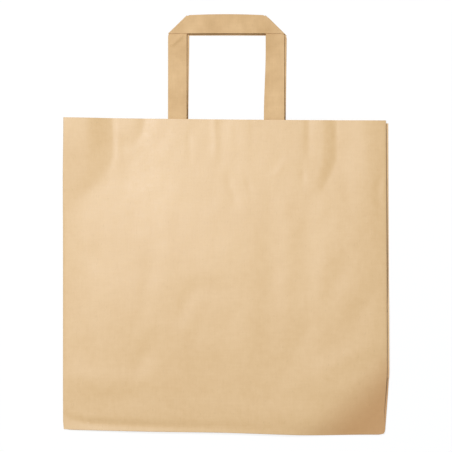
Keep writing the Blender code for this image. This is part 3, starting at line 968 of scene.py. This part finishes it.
def build_patch(name, handle, material):
    """A rectangle of paper glued over the ends of one handle."""
    shape = PatchShape(handle)
    sheet = Sheet(shape.height, shape.place)
    xs = spaced(-PATCH_WIDTH / 2, PATCH_WIDTH / 2, PATCH_CELLS_X)
    sheet.grid("patch", xs, spaced(shape.foot, shape.top, PATCH_CELLS_V))
    return sheet.object(name, PAPER, material)


def add_noise(tree, coordinates, scale, detail, stretch=(1, 1, 1)):
    """A noise factor, drawn out along each axis whose stretch is under 1."""
    mapping = tree.nodes.new("ShaderNodeMapping")
    mapping.inputs["Scale"].default_value = stretch
    tree.links.new(coordinates, mapping.inputs["Vector"])
    grain = tree.nodes.new("ShaderNodeTexNoise")
    grain.inputs["Scale"].default_value = scale
    grain.inputs["Detail"].default_value = detail
    tree.links.new(mapping.outputs["Vector"], grain.inputs["Vector"])
    return grain.outputs["Fac"]


def add_math(tree, operation, first, second):
    """The result of a sum or the like. Each value is a number or the output of another node."""
    made = tree.nodes.new("ShaderNodeMath")
    made.operation = operation
    for socket, value in zip(made.inputs, (first, second)):
        if isinstance(value, (int, float)):
            socket.default_value = value
        else:
            tree.links.new(value, socket)
    return made.outputs["Value"]


def add_mix(tree, factor, first, second, blend="MIX"):
    """A mix of two colours, each of them three numbers or the output of another node."""
    made = tree.nodes.new("ShaderNodeMix")
    made.data_type = "RGBA"
    made.blend_type = blend
    for socket, colour in ((made.inputs["A"], first), (made.inputs["B"], second)):
        if isinstance(colour, tuple):
            socket.default_value = (*colour, 1)
        else:
            tree.links.new(colour, socket)
    tree.links.new(factor, made.inputs["Factor"])
    return made.outputs["Result"]


def add_ramp(tree, value, start, end, top=1.0, shape="LINEAR"):
    """Rises from 0 where value is at start to top where it is at end."""
    ramp = tree.nodes.new("ShaderNodeMapRange")
    ramp.interpolation_type = shape
    ramp.inputs["From Min"].default_value = start
    ramp.inputs["From Max"].default_value = end
    ramp.inputs["To Max"].default_value = top
    tree.links.new(value, ramp.inputs["Value"])
    return ramp.outputs["Result"]


def weighted_sum(tree, grains, weights):
    """Adds up the named grains by their weights, each taken from its middle value."""
    total = None
    for kind, weight in weights.items():
        centred = add_math(tree, "SUBTRACT", grains[kind], MIDDLE)
        scaled = add_math(tree, "MULTIPLY", centred, weight)
        total = scaled if total is None else add_math(tree, "ADD", total, scaled)
    return total


def painted_shade_share(tree, coordinates):
    """Share of the painted shade: 0 on the panel, rising to 1 in the curled lower right corner."""
    parts = tree.nodes.new("ShaderNodeSeparateXYZ")
    tree.links.new(coordinates, parts.inputs["Vector"])
    angle = math.radians(PAINTED_SHADE_ANGLE)
    from_x = add_math(tree, "SUBTRACT", parts.outputs["X"], PAINTED_SHADE_START)
    from_y = add_math(tree, "SUBTRACT", BASE_Y, parts.outputs["Y"])
    along_x_axis = add_math(tree, "MULTIPLY", from_x, math.cos(angle))
    along_y_axis = add_math(tree, "MULTIPLY", from_y, math.sin(angle))
    beyond = add_math(tree, "ADD", along_x_axis, along_y_axis)
    return add_ramp(tree, beyond, 0.0, PAINTED_SHADE_REACH, shape="SMOOTHSTEP")


def kraft(name, deep, pale, roughness, grain_height, gloss, cloud, painted_corner_shade=False):
    """Kraft paper: cloudy pulp, streaks along both directions of the sheet, fine fibres and dark flecks, and
    on the bag painted shade in its curled lower right corner.
    """
    material = bpy.data.materials.new(name)
    material.use_nodes = True
    tree = material.node_tree
    shader = tree.nodes["Principled BSDF"]
    coordinates = tree.nodes.new("ShaderNodeTexCoord").outputs["Object"]
    cloud_scale, cloud_weight = cloud
    grains = {"cloud": add_noise(tree, coordinates, cloud_scale, CLOUD_DETAIL)}
    for kind, (scale, detail, stretch) in GRAINS.items():
        grains[kind] = add_noise(tree, coordinates, scale, detail, stretch)

    tone = weighted_sum(tree, grains, {"cloud": cloud_weight, **TONE_WEIGHTS})
    colour = add_mix(tree, add_math(tree, "ADD", tone, MIDDLE), deep, pale)
    flecks = add_ramp(tree, grains["fleck"], FLECK_START, FLECK_FULL, FLECK_STRENGTH)
    colour = add_mix(tree, flecks, colour, tuple(channel * FLECK_TONE for channel in deep))
    if painted_corner_shade:
        # Painted shade: the curled lower right corner is multiplied darker and browner
        colour = add_mix(tree, painted_shade_share(tree, coordinates), colour, PAINTED_SHADE_TINT, "MULTIPLY")
    tree.links.new(colour, shader.inputs["Base Color"])

    uneven = weighted_sum(tree, grains, ROUGHNESS_WEIGHTS)
    tree.links.new(add_math(tree, "ADD", uneven, roughness), shader.inputs["Roughness"])
    shader.inputs["Specular IOR Level"].default_value = gloss

    bump = tree.nodes.new("ShaderNodeBump")
    bump.inputs["Distance"].default_value = grain_height
    tree.links.new(weighted_sum(tree, grains, HEIGHT_WEIGHTS), bump.inputs["Height"])
    tree.links.new(bump.outputs["Normal"], shader.inputs["Normal"])
    return material


def seen_directly(tree):
    """1 to the camera, also by way of something glossy or clear, and 0 to the light on the bag."""
    path = tree.nodes.new("ShaderNodeLightPath")
    direct = add_math(tree, "MAXIMUM", path.outputs["Is Camera Ray"], path.outputs["Is Glossy Ray"])
    return add_math(tree, "MAXIMUM", direct, path.outputs["Is Transmission Ray"])


def floor_material():
    """White to the camera, with the bag's shadow kept faintly on it."""
    material = bpy.data.materials.new("floor_white")
    material.use_nodes = True
    tree = material.node_tree
    shader = tree.nodes["Principled BSDF"]
    shader.inputs["Base Color"].default_value = FLOOR_COLOUR
    shader.inputs["Roughness"].default_value = FLOOR_ROUGHNESS
    shader.inputs["Specular IOR Level"].default_value = 0.0
    glow = tree.nodes.new("ShaderNodeEmission")
    glow.inputs["Color"].default_value = WHITE
    glow.inputs["Strength"].default_value = FLOOR_WHITE
    seen = tree.nodes.new("ShaderNodeMixShader")
    seen.inputs["Fac"].default_value = FLOOR_GLOW
    tree.links.new(shader.outputs["BSDF"], seen.inputs[1])
    tree.links.new(glow.outputs["Emission"], seen.inputs[2])
    chosen = tree.nodes.new("ShaderNodeMixShader")
    tree.links.new(seen_directly(tree), chosen.inputs["Fac"])
    tree.links.new(shader.outputs["BSDF"], chosen.inputs[1])
    tree.links.new(seen.outputs["Shader"], chosen.inputs[2])
    tree.links.new(chosen.outputs["Shader"], tree.nodes["Material Output"].inputs["Surface"])
    return material


def white_floor():
    """A wide floor just under the bag."""
    mesh = bmesh.new()
    bmesh.ops.create_grid(mesh, x_segments=1, y_segments=1, size=FLOOR_SIZE / 2)
    data = bpy.data.meshes.new("floor")
    mesh.to_mesh(data)
    mesh.free()
    data.materials.append(floor_material())
    floor = add_object("floor", data)
    floor.location.z = -FLOOR_BELOW


def white_world(fill):
    """White behind everything that the camera sees, and a plain grey fill light."""
    world = bpy.data.worlds.new("studio")
    bpy.context.scene.world = world
    world.use_nodes = True
    tree = world.node_tree
    background = tree.nodes["Background"]
    background.inputs["Color"].default_value = WHITE
    kept = add_math(tree, "MULTIPLY", seen_directly(tree), 1 - fill)
    tree.links.new(add_math(tree, "ADD", kept, fill), background.inputs["Strength"])


def soft_box(name, place, size, power, colour):
    """A square soft light that faces the bag."""
    data = bpy.data.lights.new(name, "AREA")
    data.shape = "SQUARE"
    data.size = size
    data.energy = power
    data.color = colour
    lamp = add_object(name, data)
    lamp.location = place
    lamp.rotation_mode = "QUATERNION"
    lamp.rotation_quaternion = (-Vector(place)).to_track_quat("-Z", "Y")


def overhead_camera():
    """Straight above the bag, with a long lens."""
    data = bpy.data.cameras.new("camera")
    data.lens = LENS
    data.sensor_width = SENSOR
    camera = add_object("camera", data)
    distance = FRAME_PIXELS * PIXEL * LENS / SENSOR
    camera.location = (*PHOTO_CENTRE, PANEL_LEVEL + distance)
    data.clip_end = CLIP_END * distance
    bpy.context.scene.camera = camera


# The bag's paper carries painted shade in its curled lower right corner
bag_paper = kraft(
    "bag_kraft_paper",
    BAG_DEEP,
    BAG_PALE,
    BAG_ROUGHNESS,
    BAG_GRAIN_HEIGHT,
    BAG_GLOSS,
    BAG_CLOUD,
    painted_corner_shade=True,
)
strip_paper = kraft(
    "handle_kraft_paper",
    STRIP_DEEP,
    STRIP_PALE,
    STRIP_ROUGHNESS,
    STRIP_GRAIN_HEIGHT,
    STRIP_GLOSS,
    STRIP_CLOUD,
)
patch_paper = kraft(
    "patch_kraft_paper",
    STRIP_DEEP,
    BAG_PALE,
    PATCH_ROUGHNESS,
    STRIP_GRAIN_HEIGHT,
    STRIP_GLOSS,
    STRIP_CLOUD,
)
front_handle = HandleShape(1, FRONT_OFFSET, 0.0, HANDLE_TOP, FRONT_REST)
back_handle = HandleShape(-1, BACK_OFFSET, BACK_LEAN, HANDLE_TOP - BACK_HANDLE_DROP, BACK_REST)

PIECES = (
    (build_bag(bag_paper), "bag_body", "bag_kraft"),
    (build_handle("front_strip_handle", front_handle, strip_paper), "front_handle", "handle_kraft"),
    (build_handle("back_strip_handle", back_handle, strip_paper), "back_handle", "handle_kraft"),
    (build_patch("front_glued_patch", front_handle, patch_paper), "front_patch", "patch_kraft"),
    (build_patch("back_glued_patch", back_handle, patch_paper), "back_patch", "patch_kraft"),
)
for piece, node, slot in PIECES:
    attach(piece, BODY)
    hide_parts(node)

white_floor()
white_world(WORLD_FILL)
soft_box("key_light", KEY_PLACE, KEY_SIZE, KEY_POWER, KEY_COLOUR)
overhead_camera()
bpy.context.scene.view_settings.view_transform = "Standard"
